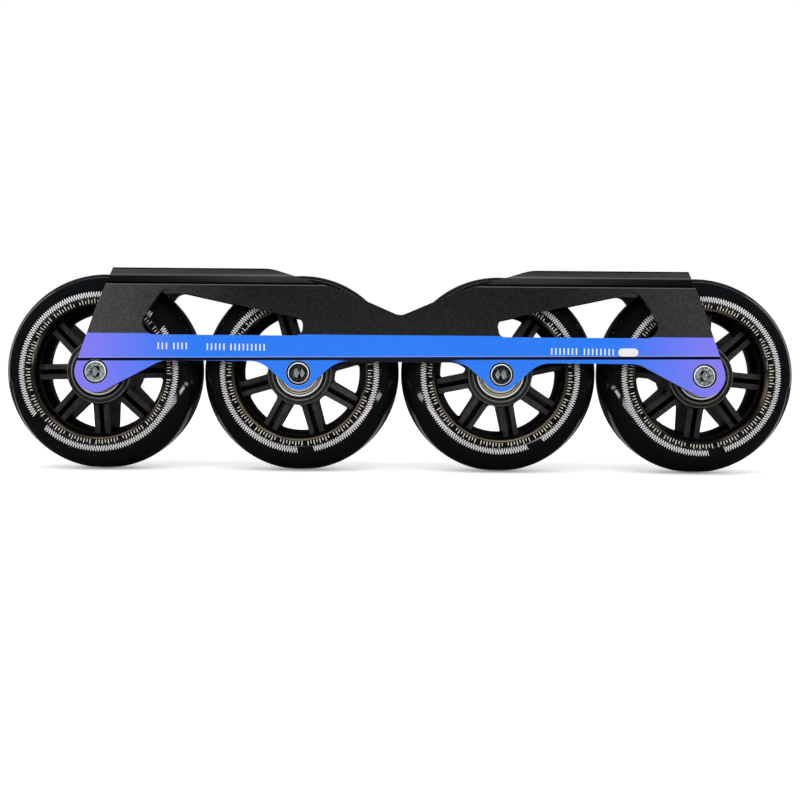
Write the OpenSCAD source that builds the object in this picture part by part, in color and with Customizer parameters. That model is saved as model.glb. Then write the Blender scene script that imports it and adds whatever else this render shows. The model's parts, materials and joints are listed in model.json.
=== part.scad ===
// Inline skate frame with its wheels, bearings and one-piece axles.
// +X runs along the frame, +Y across it and +Z up, in millimetres. The origin is in the mounting face,
// midway between the two boot bolts. Axle heads face -Y. Outlines below are drawn from the axle line.

/* [Wheel] */
// Wheel diameter over the tyre
wheel_d = 90; // [84:1:96]
// Wheel width over the bearings
wheel_w = 24; // [23:0.5:27]
// Gap between neighbouring wheels
wheel_gap = 1; // [0.6:0.1:3]
// Diameter where the tyre is bonded to the hub
bond_d = 60; // [58:0.5:64]
// Height of the tyre's widest ring above the bond
belly_rise = 3; // [2:0.5:5]
// Narrowing of the tyre from its widest ring to the bond, each side
belly_tuck = 0.4; // [0.2:0.1:0.8]
// Power of the tyre profile in height, 2 is an ellipse
crown_height_power = 2.4; // [2:0.1:3]
// Power of the tyre profile in width, 2 is an ellipse
crown_width_power = 1.9; // [1.7:0.1:2.4]

/* [Hub] */
// Thickness of the rim at its middle, where the spokes join it
rim_wall = 3.3; // [2.5:0.1:4]
// Thickness of the rim at its two edges
rim_edge = 0.5; // [0.4:0.1:1]
// Distance of the rim's edges in from the wheel's side
rim_inset = 3; // [1.5:0.1:4]
// Height of the locking rib that the rim sends into the tyre
lock_rib_h = 3; // [1:0.5:4]
// Width of the locking rib
lock_rib_w = 9; // [5:0.5:14]
// Number of spokes
spoke_count = 8; // [6:1:9]
// Width of a spoke over both of its ribs
spoke_w = 6.9; // [6:0.1:8]
// Width of each rib of a spoke
rib_w = 2.3; // [1.6:0.1:2.5]
// Depth of the ribs at the boss, across the wheel
rib_depth_boss = 19; // [14:0.5:21]
// Depth of the ribs at the rim, across the wheel
rib_depth_rim = 14; // [8:0.5:15]
// Thickness of the web between the two ribs of a spoke
spoke_web = 3; // [2:0.5:5]
// Ledge of the web along the outside of the ribs
web_ledge = 0.1; // [0.05:0.05:0.3]
// Wall of the boss round the bearings
boss_wall = 3.5; // [2.5:0.1:4]
// Distance of the boss's end in from the wheel's side
boss_inset = 0.3; // [0.1:0.1:1]
// Distance of the spoke openings out from the boss
opening_rise = 0.4; // [0.4:0.1:2]
// Corner radius of the spoke openings
opening_fillet = 1.8; // [1:0.1:2.2]
// Radial step that stops each bearing inside the boss
seat_step = 1.6; // [1:0.1:2]
// Chamfer on the boss edges
hub_chamfer = 0.4; // [0.2:0.1:0.8]

/* [Bearing] */
// Outside diameter of a bearing
bearing_od = 22; // [21:0.5:24]
// Bore of a bearing
bearing_bore = 8; // [7:0.5:8.5]
// Width of a bearing
bearing_w = 7; // [6.6:0.2:8]
// Ball diameter
ball_d = 3.97; // [3.6:0.01:4.2]
// Number of balls in a bearing
ball_count = 7; // [6:1:8]
// Depth of the ball grooves below the ring lands
race_depth = 0.6; // [0.4:0.05:0.8]
// Shield thickness
shield_t = 0.4; // [0.3:0.05:0.5]
// Distance of the shield's edge in from the bearing's face
shield_inset = 0.3; // [0.25:0.05:0.5]
// Depth of the groove that holds a shield in the outer ring
shield_grip = 0.5; // [0.3:0.05:0.7]
// Height of the raised middle of a shield
shield_dish = 0.15; // [0.05:0.05:0.2]
// Radial thickness of the ball cage
cage_t = 1.8; // [1.4:0.1:2.2]
// Chamfer on the bearing rings
ring_chamfer = 0.4; // [0.2:0.05:0.5]
// Outside diameter of the spacer between the two bearings of a wheel
spacer_od = 11.4; // [10:0.1:13]

/* [Axle] */
// Axle head diameter
head_d = 10; // [9.2:0.1:10.6]
// Axle head height, sunk flush in the wall
head_h = 2; // [1.6:0.1:2.4]
// Chamfer round the axle head
head_chamfer = 0.6; // [0.3:0.1:0.9]
// Chamfer at the mouth of the head's counterbore
mouth_chamfer = 0.3; // [0.1:0.05:0.5]
// Width across flats of the hexagon socket
socket_af = 5; // [4:0.5:5.5]
// Depth of the hexagon socket
socket_depth = 3.5; // [2:0.5:5]
// Distance of the socket's drilled hole in from the flats of the hexagon
drill_in = 0.1; // [0.05:0.05:0.4]
// Angle of the drill point at the bottom of that hole
drill_point = 118; // [90:1:140]
// Distance of the axle's end in from the far wall
axle_short = 0.4; // [0.1:0.1:1]

/* [Frame section] */
// Wall thickness
wall_t = 3; // [2.6:0.1:4]
// Gap from the wheel's side to the wall
side_gap = 1.5; // [1.2:0.1:3]
// Height of the mounting face above the wheels
deck_rise = 1.7; // [1.2:0.1:4]
// Thickness of the mounting deck
deck_t = 6; // [4.5:0.5:7.5]
// Gap from the wheels to the underside of the deck
deck_gap = 2.2; // [1.5:0.1:4]
// Cutter radius in the corners of the deck
deck_cutter_r = 4; // [2:0.5:6]
// Height of the lip along the top edge
lip_h = 3.1; // [2.5:0.1:4]
// Height of the groove under the lip
groove_h = 4.2; // [3:0.1:5]
// Depth of the groove under the lip
groove_depth = 2; // [1:0.1:2.4]
// Height of the groove's ledge
ledge_h = 0.5; // [0.3:0.1:1]

/* [Frame outline] */
// Radius of the lobes round the two inner axles
inner_lobe_r = 7.45; // [7:0.05:9]
// Slope of the inner lobes' sides in degrees
inner_lobe_slope = 42; // [36:1:50]
// Radius of the lobes round the two outer axles
outer_lobe_r = 9.3; // [8:0.1:11]
// Slope of the outer lobes' inboard sides in degrees
outer_lobe_slope = 28; // [24:1:34]
// Height of the lower edge above the axles
lower_edge_z = 5.25; // [4:0.25:7]
// Fillet from the lobes into the lower edge
lobe_fillet = 13; // [5:1:16]
// Lean of the end edge from upright, beside the axle
end_lean = 19; // [15:1:22]
// Lean of the end edge from upright, below the mounting face
end_top_lean = 23.4; // [22:0.2:32]
// Height of the bend in the end edge above the axles
end_bend_z = 30.8; // [26:0.2:34]
// Radius of the bend in the end edge
end_bend_r = 40; // [10:5:60]
// Depth of the valley below the mounting face
valley_depth = 20.8; // [16:0.2:23]
// Radius at the bottom of the valley
valley_r = 6; // [3:1:12]
// Distance of the bend in the valley's side inboard of the inner axle
flank_in = 21.5; // [16:0.5:26]
// Depth of that bend below the mounting face
flank_depth = 10.4; // [9:0.1:12]
// Radius of that bend
flank_r = 60; // [20:5:100]
// Distance of the mounting face's inner end outboard of the inner axle
knee_out = 12.5; // [8:0.5:16]
// Radius at the mounting face's inner end
knee_r = 20; // [5:1:30]

/* [Side windows] */
// Height of the window's lower edge above the axles
window_z = 16.8; // [15:0.1:19]
// Distance of the window's narrow end inboard of the inner axle
window_in = 1.8; // [0:0.1:6]
// Height of the window at its narrow end
window_end_h = 7.4; // [6:0.1:9]
// Distance of the window's top corner inboard of the outer axle
window_top_in = 30; // [26:0.5:36]
// Wall left between the window's top corner and the groove's ledge
window_top_wall = 1.7; // [1.2:0.1:4]
// Distance of the window's bottom corner inboard of the outer axle
window_low_in = 15.4; // [13:0.2:22]
// Corner radius at the window's narrow end
window_end_r = 3.5; // [2:0.1:4]
// Corner radius at the window's top
window_top_r = 5; // [3:0.5:8]
// Corner radius at the window's bottom corner
window_low_r = 5.5; // [3:0.5:7]

/* [Bridge] */
// Gap from the middle wheels to the bridge between the walls
bridge_gap = 1.5; // [1:0.1:2.5]
// Width of the bridge at its lower edge
bridge_foot = 2.6; // [2:0.1:5]
// Distance of the bridge's top below the valley
bridge_drop = 2.5; // [1.5:0.1:4]

/* [Boot mounting] */
// Distance between the two boot bolts
bolt_spacing = 167; // [160:1:190]
// Hole for an M6 boot bolt
bolt_hole_d = 6.5; // [6:0.1:8]

/* [Clearances] */
// Axle in the bearings and the spacer, radial
axle_clearance = 0.02; // [0.01:0.01:0.05]
// Axle in the frame's holes, radial
wall_clearance = 0.05; // [0.02:0.01:0.1]
// Axle head in its counterbore, radial
head_clearance = 0.3; // [0.1:0.05:0.5]
// Ball in the ring grooves, radial
race_clearance = 0.1; // [0.05:0.01:0.15]
// Ball in its cage pocket, radial
pocket_clearance = 0.25; // [0.2:0.01:0.3]
// Shield to the inner ring and to the cage
shield_gap = 0.3; // [0.25:0.05:0.4]

/* [Hidden] */
wheel_count = 4;
WHEEL_PARTS = [
    "tyre",
    "hub",
    "bearing_outer_rings",
    "bearing_shields",
    "bearing_balls",
    "bearing_cages",
    "bearing_inner_rings",
    "spacer",
    "axle"
];

// How far each wheel is turned at rest, in degrees
wheel_turn = [1.2, 16, 11.5, 39.5];
// Facet size of drawn arcs in degrees, and facets of true circles
arc_step = 6;
$fn = 96;
// How far joined solids run into each other, and how far cuts run past a face
weld = 0.5;
past = 1;

wheel_r = wheel_d / 2;
half_w = wheel_w / 2;
bond_r = bond_d / 2;
rim_r = bond_r - rim_wall;
rim_half = half_w - rim_inset;
boss_half = half_w - boss_inset;
crown_steps = 14;
bridge_steps = 6;

bearing_r = bearing_od / 2;
bearing_half = bearing_w / 2;
bearing_y = half_w - bearing_half;
ball_r = ball_d / 2;
race_r = (bearing_od + bearing_bore) / 4;
groove_r = ball_r + race_clearance;
inner_land_r = race_r - groove_r + race_depth;
outer_land_r = race_r + groove_r - race_depth;
shield_top = bearing_half - shield_inset;
shield_low = shield_top - shield_t;
shield_r = outer_land_r + shield_grip;
cage_side = shield_low - shield_gap;
boss_r = bearing_r + boss_wall;

axle_r = bearing_bore / 2 - axle_clearance;
axle_pitch = wheel_d + wheel_gap;
inner_axle_x = axle_pitch / 2;
outer_axle_x = inner_axle_x + axle_pitch;
function axle_x(i) = (i - (wheel_count + 1) / 2) * axle_pitch;

wall_in = half_w + side_gap;
wall_out = wall_in + wall_t;
deck_z = wheel_r + deck_rise;
axle_z = -deck_z;
lip_z = deck_z - lip_h;
ledge_z = lip_z - groove_h;
// The wall thickens inwards behind the groove, so it keeps its strength there
flange_in = wall_in - groove_depth;
deck_low_z = deck_z - deck_t;
deck_reach = sqrt(pow(wheel_r + deck_gap, 2) - pow(deck_low_z, 2));
deck_x0 = inner_axle_x + deck_reach;
deck_x1 = outer_axle_x - deck_reach;
valley_z = deck_z - valley_depth;
bridge_z1 = valley_z - bridge_drop;
bridge_r = wheel_r + bridge_gap;
bridge_z0 = sqrt(pow(bridge_r, 2) - pow(inner_axle_x - bridge_foot / 2, 2));

// Points on an arc about c from angle a0 to angle a1
function arc(c, r, a0, a1) =
    let (n = max(2, ceil(abs(a1 - a0) / arc_step)))
    [for (k = [0:n]) let (a = a0 + (a1 - a0) * k / n) c + r * [cos(a), sin(a)]];

// The same points as corners that stay as they are
function fixed(points) = [for (p = points) [p.x, p.y, 0]];

// One corner [x, y, radius] between its neighbours, rounded and kept within its edges
function rounded_corner(before, corner, after) =
    let (
        p = [corner.x, corner.y],
        to_before = [before.x, before.y] - p,
        to_after = [after.x, after.y] - p,
        u = to_before / norm(to_before),
        v = to_after / norm(to_after),
        half = acos(max(-1, min(1, u * v))) / 2,
        reach = min(corner.z / tan(half), 0.49 * norm(to_before), 0.49 * norm(to_after)),
        r = reach * tan(half),
        c = p + (u + v) / norm(u + v) * r / sin(half),
        from = p + u * reach - c,
        a0 = atan2(from.y, from.x),
        side = u.x * v.y - u.y * v.x > 0 ? -1 : 1
    )
    arc(c, r, a0, a0 + side * (180 - 2 * half));

// A closed outline of corners [x, y, radius]
function rounded(corners) =
    let (n = len(corners))
    [for (k = [0:n - 1])
        for (p = corners[k].z == 0
            ? [[corners[k].x, corners[k].y]]
            : rounded_corner(corners[(k + n - 1) % n], corners[k], corners[(k + 1) % n])) p];

// The other half of a list of corners that is symmetric about x = 0
function mirrored(corners) =
    [for (k = [len(corners) - 1:-1:0]) [-corners[k].x, corners[k].y, corners[k].z]];

// Side outline of the frame, right half from the valley round to the middle of the lower edge
end_bend_x = outer_axle_x + (outer_lobe_r - end_bend_z * sin(end_lean)) / cos(end_lean);
end_top_x = end_bend_x - (deck_z - end_bend_z) * tan(end_top_lean);
outer_lobe_a = -90 - outer_lobe_slope;
outer_side_x = outer_axle_x - (outer_lobe_r / cos(outer_lobe_slope) + lower_edge_z) / tan(outer_lobe_slope);
inner_side_x = (inner_lobe_r / cos(inner_lobe_slope) + lower_edge_z) / tan(inner_lobe_slope);
outline_half = concat(
    [
        [inner_axle_x - flank_in, deck_z - flank_depth, flank_r],
        [inner_axle_x + knee_out, deck_z, knee_r],
        [end_top_x, deck_z, 0],
        [end_bend_x, end_bend_z, end_bend_r]
    ],
    fixed(arc([outer_axle_x, 0], outer_lobe_r, end_lean, outer_lobe_a)),
    [
        [outer_side_x, lower_edge_z, lobe_fillet],
        [inner_axle_x + inner_side_x, lower_edge_z, lobe_fillet]
    ],
    fixed(arc([inner_axle_x, 0], inner_lobe_r, inner_lobe_slope - 90, -inner_lobe_slope - 90)),
    [[inner_axle_x - inner_side_x, lower_edge_z, lobe_fillet]]
);
side_outline = rounded(concat([[0, valley_z, valley_r]], outline_half, mirrored(outline_half)));

window_outline = rounded([
    [inner_axle_x - window_in, window_z, window_end_r],
    [inner_axle_x - window_in, window_z + window_end_h, window_end_r],
    [outer_axle_x - window_top_in, ledge_z - window_top_wall, window_top_r],
    [outer_axle_x - window_low_in, window_z, window_low_r]
]);

// Section across one wall, from below the lobes to the mounting face
wall_section = [
    [wall_in, -2 * outer_lobe_r],
    [wall_out, -2 * outer_lobe_r],
    [wall_out, ledge_z],
    [wall_out - groove_depth, ledge_z + ledge_h],
    [wall_out, lip_z],
    [wall_out, deck_z],
    [flange_in, deck_z],
    [flange_in, ledge_z],
    [wall_in, ledge_z - groove_depth]
];

// Wheel slot at one end of the deck, in plan, with a cutter radius in its corners
function deck_slot(x, way) = rounded([
    [x - way * 2 * deck_cutter_r, -flange_in, 0],
    [x, -flange_in, deck_cutter_r],
    [x, flange_in, deck_cutter_r],
    [x - way * 2 * deck_cutter_r, flange_in, 0]
]);

// Half section of the tyre's rounded side and crown, from its widest ring to the top
function crown(side) = [for (k = [0:crown_steps])
    let (a = 90 * k / crown_steps)
    [
        bond_r + belly_rise + (wheel_r - bond_r - belly_rise) * pow(sin(a), 2 / crown_height_power),
        side * half_w * pow(cos(a), 2 / crown_width_power)
    ]];

// One opening between two spokes out to a radius, seen along the axle, with a ledge left inside its edges
spoke_step = 360 / spoke_count;
function polar(r, a) = r * [cos(a), sin(a)];
function opening(outer_r, ledge) =
    let (
        inner_r = boss_r + opening_rise + ledge,
        half_spoke = spoke_w / 2 + ledge,
        a0 = asin(half_spoke / inner_r),
        a1 = asin(half_spoke / outer_r)
    )
    rounded(concat(
        [concat(polar(inner_r, spoke_step - a0), opening_fillet)],
        [concat(polar(inner_r, a0), opening_fillet)],
        [concat(polar(outer_r, a1), opening_fillet)],
        fixed(arc([0, 0], outer_r, a1 + arc_step, spoke_step - a1 - arc_step)),
        [concat(polar(outer_r, spoke_step - a1), opening_fillet)]
    ));

// Extrudes an outline drawn in X and Z across the frame
module across(w) {
    rotate([90, 0, 0])
    linear_extrude(height = w, center = true)
    children();
}

// Turns a profile of radius and height about the axle, with its height towards the axle heads
module turned() {
    rotate([90, 0, 0])
    rotate_extrude()
    children();
}

// A cylinder on the axle, from one place across the frame to another
module rod(r, y0, y1, sides = $fn) {
    translate([0, y0, 0])
    rotate([-90, 0, 0])
    cylinder(r = r, h = y1 - y0, $fn = sides);
}

module at_axle(i) {
    translate([axle_x(i), 0, axle_z])
    children();
}

// Both bearings of a wheel, the second one turned end for end
module at_bearings() {
    for (turn = [0, 180])
        rotate([0, 0, turn])
        translate([0, -bearing_y, 0])
        children();
}

module walls() {
    intersection() {
        rotate([90, 0, 90])
        linear_extrude(height = 2 * (outer_axle_x + wheel_r), center = true)
        for (side = [0, 1])
            mirror([side, 0])
            polygon(wall_section);
        across(2 * wall_out + past) polygon(side_outline);
    }
}

module deck() {
    translate([0, 0, deck_low_z])
    linear_extrude(height = deck_t)
    difference() {
        translate([deck_x0 - deck_cutter_r, -flange_in - weld])
        square([deck_x1 - deck_x0 + 2 * deck_cutter_r, 2 * (flange_in + weld)]);
        polygon(deck_slot(deck_x0, 1));
        polygon(deck_slot(deck_x1, -1));
    }
}

// Wedge between the two middle wheels, hollowed to clear them
module bridge() {
    flank = [for (k = [0:bridge_steps])
        let (z = bridge_z0 + (bridge_z1 - bridge_z0) * k / bridge_steps)
        [inner_axle_x - sqrt(pow(bridge_r, 2) - z * z), z]];
    across(2 * (wall_in + weld))
    polygon(concat(flank, [for (k = [bridge_steps:-1:0]) [-flank[k].x, flank[k].y]]));
}

// Raised pads that bear on the inner rings of a wheel's bearings
module wall_pads() {
    for (side = [0, 1])
        mirror([0, side, 0])
        rod(inner_land_r, half_w, wall_in + weld);
}

// Hole for an axle through both walls, with a counterbore for its head and a chamfer at the mouth
module axle_hole() {
    counterbore_r = head_d / 2 + head_clearance;
    mouth_r = counterbore_r + mouth_chamfer;
    half_head = head_h / 2;
    rod(axle_r + wall_clearance, -wall_out - past, wall_out + past);
    rod(counterbore_r, -wall_out - past, head_h - wall_out);
    turned()
    polygon([
        [0, wall_out + past],
        [mouth_r + past, wall_out + past],
        [mouth_r - half_head, wall_out - half_head],
        [0, wall_out - half_head]
    ]);
}

module frame() {
    color("#26282c")
    difference() {
        union() {
            translate([0, 0, axle_z]) walls();
            translate([0, 0, axle_z]) bridge();
            for (end = [0, 1])
                mirror([end, 0, 0])
                translate([0, 0, axle_z])
                deck();
            for (i = [1:wheel_count])
                at_axle(i) wall_pads();
        }
        for (end = [0, 1])
            mirror([end, 0, 0])
            translate([0, 0, axle_z])
            across(2 * (wall_out + past))
            polygon(window_outline);
        for (i = [1:wheel_count])
            at_axle(i) axle_hole();
        for (end = [-1, 1])
            translate([end * bolt_spacing / 2, 0, -deck_t - past])
            cylinder(d = bolt_hole_d, h = deck_t + 2 * past);
    }
}

module tyre() {
    color("#101012")
    turned()
    polygon(concat(
        [[bond_r, -half_w + belly_tuck]],
        crown(-1),
        [for (k = [crown_steps - 1:-1:0]) crown(1)[k]],
        [
            [bond_r, half_w - belly_tuck],
            [bond_r, lock_rib_w / 2],
            [bond_r + lock_rib_h, lock_rib_w / 2],
            [bond_r + lock_rib_h, -lock_rib_w / 2],
            [bond_r, -lock_rib_w / 2]
        ]
    ));
}

// Rim under the tyre, with the locking rib outside and a ridge inside that carries the spokes
module hub_rim() {
    turned()
    polygon([
        [rim_r, -spoke_web / 2],
        [bond_r - rim_edge, -rim_half],
        [bond_r, -rim_half],
        [bond_r, -lock_rib_w / 2],
        [bond_r + lock_rib_h, -lock_rib_w / 2],
        [bond_r + lock_rib_h, lock_rib_w / 2],
        [bond_r, lock_rib_w / 2],
        [bond_r, rim_half],
        [bond_r - rim_edge, rim_half],
        [rim_r, spoke_web / 2]
    ]);
}

// Boss with a seat for a bearing in each end
module hub_boss() {
    seat_y = half_w - bearing_w;
    turned()
    polygon([
        [bearing_r - seat_step, -seat_y],
        [bearing_r, -seat_y],
        [bearing_r, -boss_half],
        [boss_r - hub_chamfer, -boss_half],
        [boss_r, hub_chamfer - boss_half],
        [boss_r, boss_half - hub_chamfer],
        [boss_r - hub_chamfer, boss_half],
        [bearing_r, boss_half],
        [bearing_r, seat_y],
        [bearing_r - seat_step, seat_y]
    ]);
}

// Spokes that taper from the boss to the rim, each two ribs with a web between and beside them
module hub_spokes() {
    spoke_r0 = boss_r - weld;
    spoke_r1 = bond_r - rim_edge;
    channel_w = spoke_w - 2 * rib_w;
    difference() {
        turned()
        polygon([
            [spoke_r0, -rib_depth_boss / 2],
            [spoke_r1, -rib_depth_rim / 2],
            [spoke_r1, rib_depth_rim / 2],
            [spoke_r0, rib_depth_boss / 2]
        ]);
        for (k = [0:spoke_count - 1])
            rotate([0, -k * spoke_step, 0])
            across(rib_depth_boss + past)
            polygon(opening(rim_r + web_ledge, web_ledge));
        for (k = [0:spoke_count - 1], side = [-1, 1])
            rotate([0, -k * spoke_step, 0])
            translate([0, side * (spoke_web + rib_depth_boss) / 2, 0])
            across(rib_depth_boss)
            hub_recess(spoke_r0 - past, spoke_r1 + past, channel_w);
    }
}

// What is cut from each side of the hub for one spoke: the opening beside it and the channel between its ribs
module hub_recess(r0, r1, channel_w) {
    polygon(opening(bond_r, 0));
    translate([r0, -channel_w / 2])
    square([r1 - r0, channel_w]);
}

module hub(turn) {
    color("#17181a")
    rotate([0, -turn, 0])
    union() {
        hub_rim();
        hub_boss();
        hub_spokes();
    }
}

// Ball groove in section, cut from both rings
module groove() {
    translate([race_r, 0])
    circle(r = groove_r);
}

module bearing_outer_rings() {
    color("#c9ccd0")
    at_bearings()
    turned()
    difference() {
        polygon([
            [outer_land_r, -shield_low],
            [shield_r, -shield_low],
            [shield_r, -shield_top],
            [shield_r - shield_grip / 2, -shield_top],
            [shield_r - shield_grip / 2, -bearing_half],
            [bearing_r - ring_chamfer, -bearing_half],
            [bearing_r, ring_chamfer - bearing_half],
            [bearing_r, bearing_half - ring_chamfer],
            [bearing_r - ring_chamfer, bearing_half],
            [shield_r - shield_grip / 2, bearing_half],
            [shield_r - shield_grip / 2, shield_top],
            [shield_r, shield_top],
            [shield_r, shield_low],
            [outer_land_r, shield_low]
        ]);
        groove();
    }
}

module bearing_inner_rings() {
    bore_r = bearing_bore / 2;
    color("#c9ccd0")
    at_bearings()
    turned()
    difference() {
        polygon([
            [bore_r, ring_chamfer - bearing_half],
            [bore_r + ring_chamfer, -bearing_half],
            [inner_land_r, -bearing_half],
            [inner_land_r, bearing_half],
            [bore_r + ring_chamfer, bearing_half],
            [bore_r, bearing_half - ring_chamfer]
        ]);
        groove();
    }
}

module bearing_shields() {
    step_r = shield_r - 2 * shield_grip;
    color("#b9b6a6")
    at_bearings()
    for (turn = [0, 180])
        rotate([0, 0, turn])
        turned()
        polygon([
            [shield_r, shield_low],
            [shield_r, shield_top],
            [step_r, shield_top],
            [step_r - shield_dish, shield_top + shield_dish],
            [inner_land_r + shield_gap, shield_top + shield_dish],
            [inner_land_r + shield_gap, shield_low + shield_dish],
            [step_r - shield_dish, shield_low + shield_dish],
            [step_r, shield_low]
        ]);
}

module at_balls() {
    for (k = [0:ball_count - 1])
        rotate([0, 360 * k / ball_count, 0])
        translate([race_r, 0, 0])
        children();
}

module bearing_balls() {
    color("#e2e4e8")
    at_bearings()
    at_balls()
    sphere(r = ball_r);
}

// Crown cages with pockets bored towards the axle, closed along the side that faces the wheel's middle
module bearing_cages() {
    color("#b08d4a")
    at_bearings()
    difference() {
        turned()
        translate([race_r - cage_t / 2, -cage_side])
        square([cage_t, cage_side + ball_r / 2]);
        at_balls()
        rotate([0, 90, 0])
        cylinder(r = ball_r + pocket_clearance, h = 2 * cage_t, center = true);
    }
}

module spacer() {
    color("#a9adb3")
    turned()
    translate([axle_r + axle_clearance, bearing_w - half_w])
    square([spacer_od / 2 - axle_r - axle_clearance, wheel_w - 2 * bearing_w]);
}

// Hexagon socket in the axle's head, over a drilled hole whose point is left at its bottom
module socket() {
    drill_r = socket_af / 2 - drill_in;
    drill_y = wall_out - socket_depth;
    rod(socket_af / sqrt(3), -wall_out - past, -drill_y, 6);
    turned()
    polygon([
        [0, wall_out + past],
        [drill_r, wall_out + past],
        [drill_r, drill_y],
        [0, drill_y - drill_r / tan(drill_point / 2)]
    ]);
}

module axle() {
    head_y = wall_out - head_h;
    color("#d4d7da")
    difference() {
        turned()
        polygon([
            [0, axle_short - wall_out],
            [axle_r - head_chamfer, axle_short - wall_out],
            [axle_r, axle_short + head_chamfer - wall_out],
            [axle_r, head_y],
            [head_d / 2, head_y],
            [head_d / 2, wall_out - head_chamfer],
            [head_d / 2 - head_chamfer, wall_out],
            [0, wall_out]
        ]);
        socket();
    }
}

// One piece of a wheel by its name
module wheel_part(part, i) {
    if (part == "tyre") tyre();
    if (part == "hub") hub(wheel_turn[i - 1]);
    if (part == "bearing_outer_rings") bearing_outer_rings();
    if (part == "bearing_shields") bearing_shields();
    if (part == "bearing_balls") bearing_balls();
    if (part == "bearing_cages") bearing_cages();
    if (part == "bearing_inner_rings") bearing_inner_rings();
    if (part == "spacer") spacer();
    if (part == "axle") axle();
}

frame();
for (part = WHEEL_PARTS, i = [1:wheel_count])
    at_axle(i) wheel_part(part, i);
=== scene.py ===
import json
import math

import bpy
from mathutils import Matrix, Vector


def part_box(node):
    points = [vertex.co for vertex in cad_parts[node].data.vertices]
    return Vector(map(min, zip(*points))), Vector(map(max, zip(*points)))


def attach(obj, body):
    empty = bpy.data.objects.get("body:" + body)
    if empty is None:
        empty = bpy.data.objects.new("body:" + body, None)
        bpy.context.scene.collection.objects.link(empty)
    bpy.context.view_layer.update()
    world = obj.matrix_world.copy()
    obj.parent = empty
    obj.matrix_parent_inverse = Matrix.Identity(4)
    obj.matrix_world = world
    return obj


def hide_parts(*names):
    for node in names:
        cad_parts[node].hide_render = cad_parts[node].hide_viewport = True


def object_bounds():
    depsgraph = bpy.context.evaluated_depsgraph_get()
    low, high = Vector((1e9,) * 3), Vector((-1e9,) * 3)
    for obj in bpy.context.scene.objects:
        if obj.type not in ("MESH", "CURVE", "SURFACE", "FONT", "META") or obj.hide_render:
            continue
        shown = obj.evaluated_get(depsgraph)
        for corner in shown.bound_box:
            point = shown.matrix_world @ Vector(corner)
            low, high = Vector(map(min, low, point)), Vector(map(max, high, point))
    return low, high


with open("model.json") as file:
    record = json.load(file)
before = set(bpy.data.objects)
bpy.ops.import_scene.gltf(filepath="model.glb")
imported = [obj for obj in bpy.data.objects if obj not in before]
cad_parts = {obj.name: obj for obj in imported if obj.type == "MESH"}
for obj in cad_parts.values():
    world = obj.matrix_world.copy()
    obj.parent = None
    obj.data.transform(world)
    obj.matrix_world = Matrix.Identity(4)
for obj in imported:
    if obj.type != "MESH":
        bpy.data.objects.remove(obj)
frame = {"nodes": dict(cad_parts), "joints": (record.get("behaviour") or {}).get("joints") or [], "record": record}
cad_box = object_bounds()
nodes = frame["nodes"]
MM = 0.001

# Places and sizes that come from the frame
wheels = {
    joint["child"]: Vector(joint["pos_m"])
    for joint in frame["joints"]
    if joint["child"].startswith("wheel_")
}
axle_z = wheels["wheel_1"].z
pitch = wheels["wheel_2"].x - wheels["wheel_1"].x
tyre_low, tyre_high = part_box("tyre_1")
wheel_r = (tyre_high.z - tyre_low.z) / 2
half_w = (tyre_high.y - tyre_low.y) / 2
wall_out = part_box("frame")[1].y
floor_z = cad_box[0].z

# Tyre profile, as in the solid, and a ring of painted warm reflection along its bond to the hub
bond_r = 30 * MM
bond_ring = 0.65 * MM
bond_soft = 0.25 * MM
belly_r = 33 * MM
belly_tuck = 0.4 * MM
ring_below_belly = 1.4 * MM
crown_height_power = 2.4
crown_width_power = 1.9
crown_steps = 40
tyre_turns = 192
lock_rib_top = 33 * MM
lock_rib_half = 4.5 * MM

# Boss face with the line of its chamfer, and spoke ribs as radii and half depths at the boss and at the rim
boss_r0, boss_r1 = 11.5 * MM, 14 * MM
boss_line = (12.1 * MM, 12.6 * MM)
rib_r0, rib_half0 = 14 * MM, 9.5 * MM
rib_r1, rib_half1 = 29.5 * MM, 7 * MM
rib_inset = 1 * MM
rib_reach = 1 * MM
rib_soft = 1 * MM
rib_reach_soft = 0.4 * MM
rim_reach = 3 * MM

# Bands of the bearing faces, white and bright ones of painted reflection and a warm one, and the axle heads with
# their counterbores, as radii
shield_band = (7.5 * MM, 8.4 * MM)
warm_band = (8.95 * MM, 9.5 * MM)
bright_band = (9.95 * MM, 10.65 * MM)
bearing_soft = 0.06 * MM
socket_r = 2.4 * MM
head_edge = (4.3 * MM, 4.75 * MM)
mouth_r = 5.5 * MM

# Printed rings on the tyre's sides, as radii, and the gaps in each wheel's zigzag, placed in degrees
zigzag_r0 = 33.55 * MM
zigzag_r1 = 36.2 * MM
zigzag_teeth = 196
zigzag_line = 0.29 * MM
zigzag_steps = 4
zigzag_gap = math.radians(12)
zigzag_gap_at = {"wheel_1": 41, "wheel_2": 95, "wheel_3": 117, "wheel_4": 102}
tick_r0 = 31.0 * MM
tick_r1 = 33.0 * MM
tick_short = 0.7 * MM
tick_w = 0.38 * MM
tick_count = 144
tick_group = 9
tick_steps = 3
print_lift = 0.03 * MM
print_sink = 0.06 * MM

# Paint on the walls, as heights above the axle line and distances from the middle
band_top = 17.3 * MM
band_soft = 0.15 * MM
stripe_mid = 6.85 * MM
stripe_slope = 0.0098
stripe_half = 0.65 * MM
stripe_glint = 0.4 * MM
dark_half = 26 * MM
dark_soft = 8 * MM
fade_start = 88 * MM
fade_end = 160 * MM
# Where a painted sheen greys the black wall towards the ends, and where its left strength turns into its right
sheen_start = 60 * MM
sheen_end = 150 * MM
sheen_turn = 100 * MM
wall_skin = 0.3 * MM

# Edges of the groove under the lip, as heights above the axle line
top_z = 46.7 * MM
top_edge = 0.6 * MM
lip_z = 43.6 * MM
ledge_z = 39.4 * MM
# Half height of the painted highlight along each of the groove's two edges
edge_highlight_half = 0.3 * MM

# Widths over which one paint turns into the next
crisp = 0.1 * MM
soft = 0.2 * MM
softer = 0.3 * MM
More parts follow.
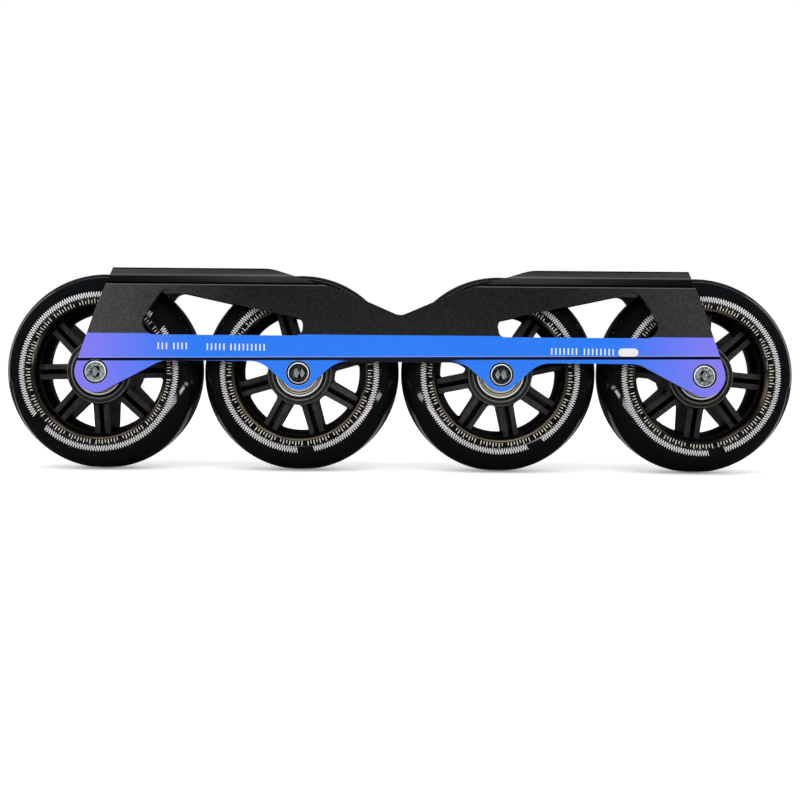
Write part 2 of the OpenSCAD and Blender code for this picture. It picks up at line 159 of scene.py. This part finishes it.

# How strongly a second paint shows over the first: grain flecks, and the painted glint, painted light on the lip,
# painted end sheen and painted edge highlights
fleck_share = 0.1
glint_share = 0.4
lip_share = 0.3
sheen_share_left, sheen_share_right = 0.85, 0.5
edge_highlight_share = 0.75

# How far a face looks along y where it is a broken edge, and from where on it is an end face
paint_edge = (0.3, 0.9)
nylon_edge = (0.25, 0.92)
end_facing = 0.92
edge_soft = 0.1
end_soft = 0.05

# Grain sizes of the finishes and depths of their bumps
paint_grain, paint_bump = 0.6 * MM, 0.02 * MM
tyre_grain, tyre_bump = 0.5 * MM, 0.003 * MM
tyre_cloud = 14 * MM
bond_patch = 22 * MM
nylon_grain, nylon_bump = 0.35 * MM, 0.015 * MM
nylon_cloud = 6 * MM
nylon_mottle = 2.5 * MM
metal_grain, metal_bump = 0.5 * MM, 0.01 * MM
bearing_grain = 0.4 * MM
head_patch = 0.9 * MM
cage_grain = 2 * MM
print_grain = 0.8 * MM

# Plain white marks on the band of the near wall: where each row of ticks starts, its height and its count
mark_rows = (
    (-108.6, 11.7, 3),
    (-101.6, 11.7, 4),
    (-86.6, 11.5, 5),
    (-76.0, 11.4, 9),
    (67.6, 10.6, 7),
    (82.2, 10.5, 8),
)
mark_pitch = 1.85 * MM
mark_w = 0.6 * MM
mark_h = 3.0 * MM
pill_x, pill_height = 102.2 * MM, 10.4 * MM
pill_w, pill_h = 9.0 * MM, 3.6 * MM
pill_steps = 12

# Broken edges of the solids, by kind
bevels = {"frame": 0.3 * MM, "hub": 0.35 * MM, "axle": 0.15 * MM}
bevel_segments = 2
sharp_angle = math.radians(38)
weld_reach = 0.002 * MM
normal_weight = 80


def srgb(r, g, b):
    """A colour given as it looks on a screen, 0 to 255, as linear light."""
    def linear(v):
        v /= 255
        return v / 12.92 if v <= 0.04045 else ((v + 0.055) / 1.055) ** 2.4
    return (linear(r), linear(g), linear(b), 1.0)


def grey(v):
    """A grey of this much linear light."""
    return (v, v, v, 1.0)


class Tree:
    """A material's node tree, with short calls for the nodes used here."""

    def __init__(self, name):
        self.mat = bpy.data.materials.new(name)
        self.mat.use_nodes = True
        self.nodes = self.mat.node_tree.nodes
        self.links = self.mat.node_tree.links
        self.bsdf = self.nodes["Principled BSDF"]

    def put(self, socket, value):
        if isinstance(value, bpy.types.NodeSocket):
            self.links.new(value, socket)
        else:
            socket.default_value = value

    def set(self, **values):
        for name, value in values.items():
            self.put(self.bsdf.inputs[name.replace("_", " ")], value)

    def node(self, kind, **props):
        made = self.nodes.new("ShaderNode" + kind)
        for name, value in props.items():
            setattr(made, name, value)
        return made

    def math(self, operation, a, b=0.0):
        made = self.node("Math", operation=operation)
        self.put(made.inputs[0], a)
        self.put(made.inputs[1], b)
        return made.outputs[0]

    def times(self, a, b):
        return self.math("MULTIPLY", a, b)

    def minus(self, a, b):
        return self.math("SUBTRACT", a, b)

    def most(self, a, b):
        return self.math("MAXIMUM", a, b)

    def absolute(self, a):
        return self.math("ABSOLUTE", a)

    def inverse(self, a):
        return self.minus(1.0, a)

    def position(self):
        """Where a point is in the part's own frame, as x, y and z."""
        coord = self.node("TexCoord").outputs["Object"]
        split = self.node("SeparateXYZ")
        self.links.new(coord, split.inputs[0])
        return split.outputs

    def radius(self):
        """How far a point is from the nearest axle."""
        x, _, z = self.position()
        wrap = self.node("Math", operation="WRAP")
        self.put(wrap.inputs[0], self.minus(x, wheels["wheel_1"].x))
        wrap.inputs[1].default_value = pitch / 2
        wrap.inputs[2].default_value = -pitch / 2
        across = self.math("POWER", wrap.outputs[0], 2.0)
        up = self.math("POWER", self.minus(z, axle_z), 2.0)
        return self.math("SQRT", self.math("ADD", across, up))

    def facing(self):
        """How far a face looks along x, y and z, each from 0 to 1."""
        split = self.node("SeparateXYZ")
        self.links.new(self.node("TexCoord").outputs["Normal"], split.inputs[0])
        return [self.absolute(part) for part in split.outputs]

    def step(self, value, edge, width):
        """0 below the edge and 1 above it, over a soft width."""
        made = self.node("MapRange", interpolation_type="SMOOTHSTEP")
        self.put(made.inputs["Value"], value)
        made.inputs["From Min"].default_value = edge - width / 2
        made.inputs["From Max"].default_value = edge + width / 2
        return made.outputs[0]

    def between(self, value, low, high, width):
        """1 between two edges and 0 outside them, over a soft width at each."""
        return self.times(self.step(value, low, width), self.inverse(self.step(value, high, width)))

    def noise(self, size, detail=2.0):
        """Noise of about this grain size in metres, from 0 to 1."""
        made = self.node("TexNoise")
        made.inputs["Scale"].default_value = 1 / size
        made.inputs["Detail"].default_value = detail
        self.links.new(self.node("TexCoord").outputs["Object"], made.inputs["Vector"])
        return made.outputs["Fac"]

    def mix(self, factor, a, b):
        """The first colour where the factor is 0 and the second where it is 1."""
        made = self.node("Mix", data_type="RGBA")
        self.put(made.inputs["Factor"], factor)
        self.put(made.inputs[6], a)
        self.put(made.inputs[7], b)
        return made.outputs[2]

    def ramp(self, value, low, high):
        """Maps 0 to 1 onto low to high."""
        made = self.node("MapRange")
        self.put(made.inputs["Value"], value)
        made.inputs["To Min"].default_value = low
        made.inputs["To Max"].default_value = high
        return made.outputs[0]

    def bump(self, height, depth, strength):
        made = self.node("Bump")
        made.inputs["Strength"].default_value = strength
        made.inputs["Distance"].default_value = depth
        self.links.new(height, made.inputs["Height"])
        self.links.new(made.outputs[0], self.bsdf.inputs["Normal"])


def frame_paint():
    """Grained satin black above a blue band, which turns violet at both ends and has a dark stripe."""
    t = Tree("frame_paint")
    x, y, z = t.position()
    height = t.minus(z, axle_z)
    from_middle = t.absolute(x)
    outside = t.step(t.absolute(y), wall_out - wall_skin, soft)
    fleck = t.step(t.noise(paint_grain), 0.5, 0.4)

    # Black, with a painted sheen that greys it towards both ends and more so at the left one
    black = t.mix(fleck, srgb(12, 14, 14), srgb(34, 36, 35))
    end_sheen = t.mix(fleck, srgb(66, 66, 65), srgb(86, 86, 84))
    at_end = t.step(from_middle, (sheen_start + sheen_end) / 2, sheen_end - sheen_start)
    end_share = t.ramp(t.step(x, 0.0, sheen_turn), sheen_share_left, sheen_share_right)
    black = t.mix(t.times(at_end, end_share), black, end_sheen)

    # Painted light on the lip, which is paler, painted shade along the top and in the groove, and painted
    # highlights along the groove's two edges
    on_lip = t.ramp(t.step(height, lip_z, softer), 0.0, lip_share)
    black = t.mix(on_lip, black, srgb(84, 84, 82))
    black = t.mix(t.step(height, top_z - top_edge, soft), black, srgb(8, 8, 8))
    groove_zone = t.between(height, ledge_z, lip_z, softer)
    in_groove = t.times(groove_zone, t.inverse(outside))
    black = t.mix(in_groove, black, t.mix(fleck, srgb(4, 4, 4), srgb(16, 16, 16)))
    for edge in (lip_z, ledge_z):
        off_edge = t.step(t.absolute(t.minus(height, edge)), edge_highlight_half, soft)
        black = t.mix(t.most(off_edge, in_groove), srgb(96, 96, 95), black)

    # Band, with a glint over its stripe and the strip under the stripe dark in the middle
    fade = t.step(from_middle, (fade_start + fade_end) / 2, fade_end - fade_start)
    band = t.mix(fade, srgb(24, 122, 250), srgb(146, 124, 248))
    band = t.mix(t.ramp(fleck, 0.0, fleck_share), band, srgb(120, 170, 255))
    line = t.minus(height, t.times(x, stripe_slope))
    stripe_top = stripe_mid + stripe_half
    over_line = t.between(line, stripe_top, stripe_top + stripe_glint, soft)
    band = t.mix(t.times(over_line, glint_share), band, srgb(176, 190, 255))
    off_line = t.absolute(t.minus(line, stripe_mid))
    clear = t.most(t.step(line, stripe_mid, soft), t.step(from_middle, dark_half, dark_soft))
    clear = t.times(clear, t.step(off_line, stripe_half, soft))
    band = t.mix(clear, srgb(2, 6, 30), band)
    in_band = t.times(outside, t.inverse(t.step(height, band_top, band_soft)))
    paint = t.mix(in_band, black, band)

    # Painted highlights on the broken edges, and painted shade in the counterbores
    on_edge = t.times(t.between(t.facing()[1], *paint_edge, edge_soft), t.inverse(groove_zone))
    paint = t.mix(t.times(on_edge, edge_highlight_share), paint, srgb(205, 208, 225))
    paint = t.mix(t.step(t.radius(), mouth_r, crisp), srgb(10, 10, 10), paint)
    t.set(Base_Color=paint)
    t.set(Roughness=t.ramp(in_band, 0.42, 0.34), Specular_IOR_Level=0.25)
    t.bump(fleck, paint_bump, 0.4)
    return t.mat


def tyre_urethane():
    """Glossy black cast urethane, faintly uneven, with a dull brown ring of painted warm reflection along its bond
    to the hub.
    """
    t = Tree("tyre_urethane")
    cloud = t.noise(tyre_cloud, 3.0)
    black = t.mix(cloud, srgb(9, 12, 15), srgb(14, 16, 18))
    # A patchy dull brown ring of painted warm reflection along the bond
    patch = t.step(t.noise(bond_patch, 1.0), 0.5, 0.3)
    bond_reflection = t.mix(patch, srgb(26, 24, 21), srgb(112, 102, 86))
    off_bond = t.step(t.radius(), bond_r + bond_ring, bond_soft)
    t.set(Base_Color=t.mix(off_bond, bond_reflection, black))
    t.set(Roughness=t.ramp(cloud, 0.04, 0.1), Specular_IOR_Level=0.4)
    t.bump(t.noise(tyre_grain), tyre_bump, 0.4)
    return t.mat


def hub_nylon():
    """Satin black moulded nylon with a fine grain, a paler mottled end face on the boss, a painted sheen on the
    ribs, and painted highlights on their edges and on the boss's chamfer line.
    """
    t = Tree("hub_nylon")
    radius = t.radius()
    facing = t.facing()[1]
    cloud = t.noise(nylon_cloud)
    mottle = t.noise(nylon_mottle)
    nylon = t.mix(cloud, srgb(3, 4, 4), srgb(9, 9, 8))

    # Outer faces of the ribs, which lie less far out towards the rim, paler with a painted sheen
    along = t.math("DIVIDE", t.minus(radius, rib_r0), rib_r1 - rib_r0)
    depth = t.minus(t.ramp(along, rib_half0, rib_half1), t.absolute(t.position()[1]))
    on_rib = t.between(radius, rib_r0 + rib_inset, rib_r1 - rib_inset, rib_soft)
    on_rib = t.times(on_rib, t.between(depth, -rib_reach, rib_reach, rib_reach_soft))
    nylon = t.mix(on_rib, nylon, t.mix(mottle, srgb(20, 20, 19), srgb(66, 65, 61)))

    # End face of the boss paler and mottled, and painted highlights on the line of its chamfer and on edges
    # everywhere but near the rim
    on_boss = t.times(t.step(facing, end_facing, end_soft), t.between(radius, boss_r0, boss_r1, crisp))
    nylon = t.mix(on_boss, nylon, t.mix(mottle, srgb(14, 14, 13), srgb(54, 53, 50)))
    off_rim = t.inverse(t.step(radius, rib_r1 - rim_reach, rib_soft))
    on_edge = t.times(t.between(facing, *nylon_edge, edge_soft), off_rim)
    on_edge = t.most(on_edge, t.between(radius, *boss_line, crisp))
    nylon = t.mix(t.times(on_edge, t.ramp(mottle, 0.2, 0.9)), nylon, srgb(152, 149, 141))
    t.set(Base_Color=nylon)
    t.set(Roughness=t.ramp(cloud, 0.26, 0.36), Specular_IOR_Level=0.1)
    t.bump(t.noise(nylon_grain, 3.0), nylon_bump, 0.4)
    return t.mat


def metal(name, colour, rough):
    """A metal with fine turning marks."""
    t = Tree(name)
    marks = t.noise(metal_grain, 3.0)
    dark = [c * 0.8 for c in colour[:3]] + [1.0]
    t.set(Base_Color=t.mix(marks, dark, colour), Metallic=1.0)
    t.set(Roughness=t.ramp(marks, rough * 0.7, rough * 1.3))
    t.bump(marks, metal_bump, 0.3)
    return t.mat


def bearing_face(name):
    """Ground rings and shields: a white band of painted reflection and a warm band inside a bright edge of painted
    highlight, with painted shade in the dark lines between.
    """
    t = Tree(name)
    radius = t.radius()
    marks = t.noise(bearing_grain, 3.0)
    shield_glare = t.mix(marks, srgb(250, 250, 250), srgb(255, 255, 255))
    warm = t.mix(marks, srgb(236, 218, 174), srgb(255, 244, 212))
    edge_glare = t.mix(marks, srgb(246, 245, 242), srgb(255, 255, 253))
    # The dark ground between the bands is painted shade
    colour = t.mix(marks, srgb(3, 3, 3), srgb(10, 9, 8))
    for band, light in ((shield_band, shield_glare), (warm_band, warm), (bright_band, edge_glare)):
        colour = t.mix(t.between(radius, *band, bearing_soft), colour, light)
    t.set(Base_Color=colour, Roughness=t.ramp(marks, 0.25, 0.4))
    return t.mat


def axle_steel():
    """Plated steel: a polished head with a painted highlight on its edge and painted shade past it, and a socket
    whose bright and dark faces are a painted reflection.
    """
    t = Tree("axle_steel")
    radius = t.radius()
    in_socket = t.inverse(t.step(radius, socket_r, crisp))
    on_edge = t.between(radius, *head_edge, crisp)
    past_edge = t.step(radius, head_edge[1], crisp)
    patch = t.step(t.noise(head_patch, 1.0), 0.5, 0.3)
    colour = t.mix(patch, srgb(128, 142, 142), srgb(220, 232, 232))
    # Painted reflection in the socket: faces looking sideways white, the others dark
    along, _, up = t.facing()
    lit = t.step(t.minus(along, t.times(up, 0.55)), 0.0, 0.1)
    colour = t.mix(in_socket, colour, t.mix(lit, srgb(24, 28, 28), srgb(255, 255, 255)))
    # Painted highlight on the head's edge, painted shade in the gap past it, and no metal where light is painted
    colour = t.mix(on_edge, colour, srgb(252, 253, 253))
    colour = t.mix(past_edge, colour, srgb(14, 14, 14))
    painted_light = t.most(t.most(on_edge, past_edge), in_socket)
    t.set(Base_Color=colour, Metallic=t.inverse(painted_light))
    t.set(Roughness=t.ramp(t.noise(metal_grain, 3.0), 0.05, 0.12))
    return t.mat


def plain(name, low, high, rough, size):
    """A moulded or printed surface that varies a little between two colours."""
    t = Tree(name)
    cloud = t.noise(size, 3.0)
    t.set(Base_Color=t.mix(cloud, low, high), Roughness=t.ramp(cloud, rough * 0.85, rough * 1.15))
    return t.mat


materials = {
    "frame_paint": frame_paint(),
    "tyre_urethane": tyre_urethane(),
    "hub_nylon": hub_nylon(),
    "bearing_steel": bearing_face("bearing_steel"),
    "shield_steel": bearing_face("shield_steel"),
    "ball_steel": metal("ball_steel", srgb(225, 226, 230), 0.08),
    "cage_nylon": plain("cage_nylon", srgb(150, 120, 66), srgb(176, 142, 80), 0.45, cage_grain),
    "spacer_aluminium": metal("spacer_aluminium", srgb(196, 198, 202), 0.3),
    "axle_steel": axle_steel(),
}
print_white = plain("print_white", srgb(232, 232, 230), srgb(250, 250, 250), 0.4, print_grain)
print_cream = plain("print_cream", srgb(206, 196, 172), srgb(242, 236, 220), 0.4, print_grain)


def make_mesh(name, verts, faces, material):
    """A new object with flat faces and one material."""
    mesh = bpy.data.meshes.new(name)
    mesh.from_pydata(verts, [], faces)
    mesh.materials.append(material)
    mesh.update()
    made = bpy.data.objects.new(name, mesh)
    bpy.context.scene.collection.objects.link(made)
    return made


def crown_point(a):
    """Radius and half width of the tyre's round side, from its widest ring at 0 to the top at 90 degrees."""
    r = belly_r + (wheel_r - belly_r) * math.sin(a) ** (2 / crown_height_power)
    return r, half_w * max(math.cos(a), 0.0) ** (2 / crown_width_power)


def side_y(r):
    """Half width of the tyre at a radius between the bond and the top."""
    if r <= belly_r:
        return half_w - belly_tuck * (belly_r - r) / (belly_r - bond_r)
    s = ((r - belly_r) / (wheel_r - belly_r)) ** (crown_height_power / 2)
    return half_w * math.sqrt(1 - s * s) ** (2 / crown_width_power)


def wheel_point(centre, r, a, y):
    """A point of a wheel at this radius and angle, this far across."""
    return centre + Vector((r * math.cos(a), y, r * math.sin(a)))


def make_tyre(body, centre):
    """The tyre as one turned ring that fills the solid's place, smooth outside and flat at the bond."""
    ring_r = belly_r - ring_below_belly
    half = [(bond_r, half_w - belly_tuck), (ring_r, side_y(ring_r))]
    half += [crown_point(math.radians(90) * k / crown_steps) for k in range(crown_steps + 1)]
    outside = half + [(r, -y) for r, y in reversed(half[:-1])]
    inside = [(bond_r, lock_rib_half), (lock_rib_top, lock_rib_half)]
    profile = outside + [(r, -y) for r, y in inside] + inside[::-1]
    n = len(profile)
    verts, faces = [], []
    for k in range(tyre_turns):
        a = 2 * math.pi * k / tyre_turns
        verts += [wheel_point(centre, r, a, y) for r, y in profile]
        here, after = k * n, (k + 1) % tyre_turns * n
        for i in range(n):
            j = (i + 1) % n
            faces.append((here + i, here + j, after + j, after + i))
    made = make_mesh(f"tyre_of_{body}", verts, faces, materials["tyre_urethane"])
    for i, poly in enumerate(made.data.polygons):
        poly.use_smooth = i % n < len(outside) - 1
    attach(made, body)
    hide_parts(body.replace("wheel", "tyre"))


def ribbon(verts, faces, centre, side, path, half_width):
    """Adds a thin closed ribbon on one side of a tyre along points of radius and angle."""
    first = len(verts)
    for r, a in path:
        for lift in (print_lift, -print_sink):
            y = side * (side_y(r) + lift)
            verts += [wheel_point(centre, r, a + way * half_width / r, y) for way in (-1, 1)]
    ring = (0, 1, 3, 2)
    for k in range(len(path) - 1):
        here, after = first + 4 * k, first + 4 * k + 4
        for i in range(4):
            p, q = ring[i], ring[(i + 1) % 4]
            faces.append((here + p, here + q, after + q, after + p))
    last = first + 4 * (len(path) - 1)
    faces.append(tuple(first + p for p in ring[::-1]))
    faces.append(tuple(last + p for p in ring))


def make_zigzag(body, centre):
    """Two zigzag arcs round each side of a tyre, with bare gaps between them."""
    verts, faces = [], []
    arc = math.pi - zigzag_gap
    half_teeth = 2 * round(zigzag_teeth / 2 * arc / math.pi) + 1
    for side in (-1, 1):
        for turn in (0, math.pi):
            start = math.radians(zigzag_gap_at[body]) + turn + zigzag_gap / 2
            corners = [(zigzag_r1 if k % 2 else zigzag_r0, start + arc * k / half_teeth)
                       for k in range(half_teeth + 1)]
            path = [corners[0]]
            for (r0, a0), (r1, a1) in zip(corners, corners[1:]):
                path += [(r0 + (r1 - r0) * s / zigzag_steps, a0 + (a1 - a0) * s / zigzag_steps)
                         for s in range(1, zigzag_steps + 1)]
            ribbon(verts, faces, centre, side, path, zigzag_line / 2)
    made = make_mesh(f"zigzag_of_{body}", verts, faces, print_white)
    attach(made, body)


def make_ticks(body, centre):
    """A plain ring of ticks inside the zigzag, in groups, on each side of a tyre."""
    verts, faces = [], []
    for side in (-1, 1):
        for k in range(tick_count):
            if k % tick_group == 0:
                continue
            a = math.radians(zigzag_gap_at[body]) + 2 * math.pi * k / tick_count
            top = tick_r1 if k % 2 else tick_r1 - tick_short
            path = [(tick_r0 + (top - tick_r0) * s / tick_steps, a) for s in range(tick_steps + 1)]
            ribbon(verts, faces, centre, side, path, tick_w / 2)
    made = make_mesh(f"ticks_of_{body}", verts, faces, print_cream)
    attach(made, body)


def plate(verts, faces, outline):
    """Adds a thin closed plate on the near wall, from an outline of x and height above the axles."""
    first, n = len(verts), len(outline)
    for depth in (-wall_out - print_lift, -wall_out + print_sink):
        verts += [Vector((x, depth, axle_z + height)) for x, height in outline]
    faces.append(tuple(range(first, first + n)))
    faces.append(tuple(range(first + 2 * n - 1, first + n - 1, -1)))
    for k in range(n):
        j = (k + 1) % n
        faces.append((first + j, first + k, first + n + k, first + n + j))


def make_marks():
    """Rows of plain ticks and a blank pill on the band of the near wall."""
    verts, faces = [], []
    for start, height, count in mark_rows:
        for k in range(count):
            x0 = start * MM + k * mark_pitch
            z0 = height * MM - mark_h / 2
            x1, z1 = x0 + mark_w, z0 + mark_h
            plate(verts, faces, [(x0, z0), (x1, z0), (x1, z1), (x0, z1)])
    end_r = pill_h / 2
    end_x = pill_w / 2 - end_r
    turns = [math.radians(-90 + 180 / pill_steps * k) for k in range(pill_steps + 1)]
    right = [(end_x + end_r * math.cos(a), end_r * math.sin(a)) for a in turns]
    ends = right + [(-x, -z) for x, z in right]
    plate(verts, faces, [(pill_x + x, pill_height + z) for x, z in ends])
    made = make_mesh("band_marks", verts, faces, print_white)
    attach(made, "frame")


def dress(name, slot, bevel, flat):
    """Gives a solid its finish, breaks its sharp edges, and shades its round faces smooth unless flat."""
    obj = nodes[name]
    obj.data.materials.clear()
    obj.data.materials.append(materials[slot])
    weld = obj.modifiers.new("weld", "WELD")
    weld.merge_threshold = weld_reach
    if bevel:
        edge = obj.modifiers.new("bevel", "BEVEL")
        edge.width = bevel
        edge.segments = bevel_segments
        edge.limit_method = "ANGLE"
        edge.angle_limit = sharp_angle
    if not flat:
        smooth = obj.modifiers.new("normals", "WEIGHTED_NORMAL")
        smooth.weight = normal_weight
    obj.data.polygons.foreach_set("use_smooth", [not flat] * len(obj.data.polygons))


for part in frame["record"]["subparts"]:
    kind = part["node"].rstrip("1234").rstrip("_")
    if kind != "tyre":
        dress(part["node"], part["material_slot"], bevels.get(kind, 0), kind == "axle")

for body, centre in wheels.items():
    make_tyre(body, centre)
    make_zigzag(body, centre)
    make_ticks(body, centre)
make_marks()


# Stage: floor, room and camera, with the camera's place in metres and its focal length in pixels
floor_reach = 6.0
floor_glow = 0.22
floor_bounce = 0.3
paper_grain = 3 * MM
room_light = 0.87
picture_px = 800
focal_px = 890
sensor_mm = 36
camera_y = -0.415
camera_rise = 5.5 * MM
camera_shift = -0.048
camera_roll = math.radians(0.47)

# Cards round the object, in metres, with white showing through the gaps between front and back ones
card_grain = 0.2
card_end = 0.62
card_x = (-card_end, card_end)
card_near, card_far = -0.6, 0.6
card_low, card_high = floor_z + MM, 0.4
card_z = (card_low, card_high)
floor_gap = (0.012, 0.03)
top_gap = (0.215, 0.25)
end_gap = (0.2, 0.35)
back_glow = 0.04

# Glowing cards, in metres: one overhead for the sockets, three low ones for the tyres, two for the axles
glow_low, glow_high = card_low + MM, card_high - MM
socket_card_x, socket_card_y = (-0.15, 0.15), (-0.27, -0.13)
socket_glow = 2.0
low_card_x, low_card_y = (-0.03, 0.03), (-0.18, -0.12)
low_glow = 14.0
side_card_x, side_card_y = (0.06, 0.1), (-0.2, -0.1)
side_glow = 8.0
axle_card_x, axle_card_y = (0.31, 0.35), -0.59
axle_card_half = 0.025
axle_card_z = (axle_z - axle_card_half, axle_z + axle_card_half)
axle_glow = 0.5

# Lamps: places, targets and sizes in metres, powers in watts
aim_z = -0.05
strip_x, strip_y, strip_z = 0.58, 0.5, 0.2
strip_aim_x = 0.1
strip_size, strip_power = (0.12, 0.3), 0.9
front_place = (0, -0.5, 0.35)
front_size, front_power = (0.5, 0.06), 0.5
top_place, top_aim = (-0.1, -0.25, 1.0), (0, 0, -0.04)
top_size, top_power = (0.8, 0.5), 4.5


def make_floor():
    """Pale paper that looks near white but throws less light up at the object."""
    t = Tree("floor_paper")
    rays = t.node("LightPath").outputs
    seen = t.most(rays["Is Camera Ray"], rays["Is Glossy Ray"])
    seen = t.most(seen, rays["Is Transmission Ray"])
    paper = t.mix(t.noise(paper_grain), grey(0.93), grey(0.97))
    t.set(Base_Color=t.mix(seen, grey(floor_bounce), paper), Roughness=0.9, Specular_IOR_Level=0.1)
    t.set(Emission_Color=grey(1.0), Emission_Strength=t.times(seen, floor_glow))
    around = ((-1, -1), (1, -1), (1, 1), (-1, 1))
    corners = [(x * floor_reach, y * floor_reach, floor_z) for x, y in around]
    floor = make_mesh("floor", corners, [(0, 1, 2, 3)], t.mat)


def make_camera():
    """The photograph's view: level, a little above the axle line, with a slight roll."""
    data = bpy.data.cameras.new("camera")
    data.sensor_width = sensor_mm
    data.lens = sensor_mm * focal_px / picture_px
    data.shift_y = camera_shift
    camera = bpy.data.objects.new("camera", data)
    bpy.context.scene.collection.objects.link(camera)
    place = Matrix.Translation((0, camera_y, axle_z + camera_rise))
    level = Matrix.Rotation(math.radians(90), 4, "X")
    camera.matrix_world = place @ level @ Matrix.Rotation(camera_roll, 4, "Z")
    bpy.context.scene.camera = camera


def make_world():
    """Plain soft light all round; seen directly or in a reflection it is white."""
    world = bpy.data.worlds.new("studio")
    world.use_nodes = True
    tree = world.node_tree
    tree.nodes.clear()
    paths = tree.nodes.new("ShaderNodeLightPath")
    seen = paths.outputs["Is Camera Ray"]
    for other in ("Is Glossy Ray", "Is Transmission Ray"):
        either = tree.nodes.new("ShaderNodeMath")
        either.operation = "MAXIMUM"
        tree.links.new(seen, either.inputs[0])
        tree.links.new(paths.outputs[other], either.inputs[1])
        seen = either.outputs[0]
    strength = tree.nodes.new("ShaderNodeMapRange")
    strength.inputs["To Min"].default_value = room_light
    strength.inputs["To Max"].default_value = 1.0
    tree.links.new(seen, strength.inputs["Value"])
    background = tree.nodes.new("ShaderNodeBackground")
    tree.links.new(strength.outputs[0], background.inputs["Strength"])
    background.inputs["Color"].default_value = grey(1.0)
    output = tree.nodes.new("ShaderNodeOutputWorld")
    tree.links.new(background.outputs[0], output.inputs["Surface"])
    bpy.context.scene.world = world


def area_light(name, place, target, size, power):
    """A soft lamp that reflections don't show."""
    data = bpy.data.lights.new(name, "AREA")
    data.shape = "RECTANGLE"
    data.size, data.size_y = size
    data.energy = power
    lamp = bpy.data.objects.new(name, data)
    bpy.context.scene.collection.objects.link(lamp)
    lamp.location = place
    lamp.rotation_mode = "QUATERNION"
    lamp.rotation_quaternion = (Vector(target) - Vector(place)).to_track_quat("-Z", "Y")
    lamp.visible_camera = False
    lamp.visible_glossy = False


def card(name, corners, glow):
    """A studio card that only reflections see: dark, or glowing for a highlight."""
    t = Tree(name)
    t.set(Base_Color=t.mix(t.noise(card_grain), grey(0.02), grey(0.05)), Roughness=0.9)
    t.set(Emission_Color=grey(1.0), Emission_Strength=glow)
    made = make_mesh(name, corners, [(0, 1, 2, 3)], t.mat)
    made.visible_camera = False
    made.visible_diffuse = False
    made.visible_shadow = False


def level_card(name, x, y, z, glow=0.0):
    """A level card over spans of x and y."""
    (x0, x1), (y0, y1) = x, y
    card(name, [(x0, y0, z), (x1, y0, z), (x1, y1, z), (x0, y1, z)], glow)


def upright_card(name, x, y, z, glow=0.0):
    """An upright card from the first x and y to the second, over a span of z."""
    (x0, x1), (y0, y1), (z0, z1) = x, y, z
    card(name, [(x0, y0, z0), (x1, y1, z0), (x1, y1, z1), (x0, y0, z1)], glow)


make_floor()
make_camera()
make_world()
upright_card("front_card", card_x, (card_near, card_near), card_z)
upright_card("back_card", card_x, (card_far, card_far), card_z, back_glow)
for place, z, gap in (("floor", card_low, floor_gap), ("top", card_high, top_gap)):
    level_card(f"front_{place}_card", card_x, (card_near, gap[0]), z)
    level_card(f"back_{place}_card", card_x, (gap[1], card_far), z, back_glow)
level_card("socket_card", socket_card_x, socket_card_y, glow_high, socket_glow)
level_card("low_card", low_card_x, low_card_y, glow_low, low_glow)
for end, name in ((-1, "left"), (1, "right")):
    end_x = (end * card_end, end * card_end)
    side_x = [end * x for x in side_card_x]
    head_x = [end * x for x in axle_card_x]
    upright_card(f"front_{name}_card", end_x, (card_near, end_gap[0]), card_z)
    upright_card(f"back_{name}_card", end_x, (end_gap[1], card_far), card_z, back_glow)
    level_card(f"{name}_low_card", side_x, side_card_y, glow_low, side_glow)
    upright_card(f"{name}_axle_card", head_x, (axle_card_y, axle_card_y), axle_card_z, axle_glow)
    for side, place in ((-1, "front"), (1, "back")):
        strip_place = (end * strip_x, side * strip_y, strip_z)
        strip_aim = (end * strip_aim_x, 0, aim_z)
        area_light(f"{place}_{name}_strip", strip_place, strip_aim, strip_size, strip_power)
area_light("front_strip", front_place, (0, 0, aim_z), front_size, front_power)
area_light("top", top_place, top_aim, top_size, top_power)
bpy.context.scene.view_settings.view_transform = "Standard"
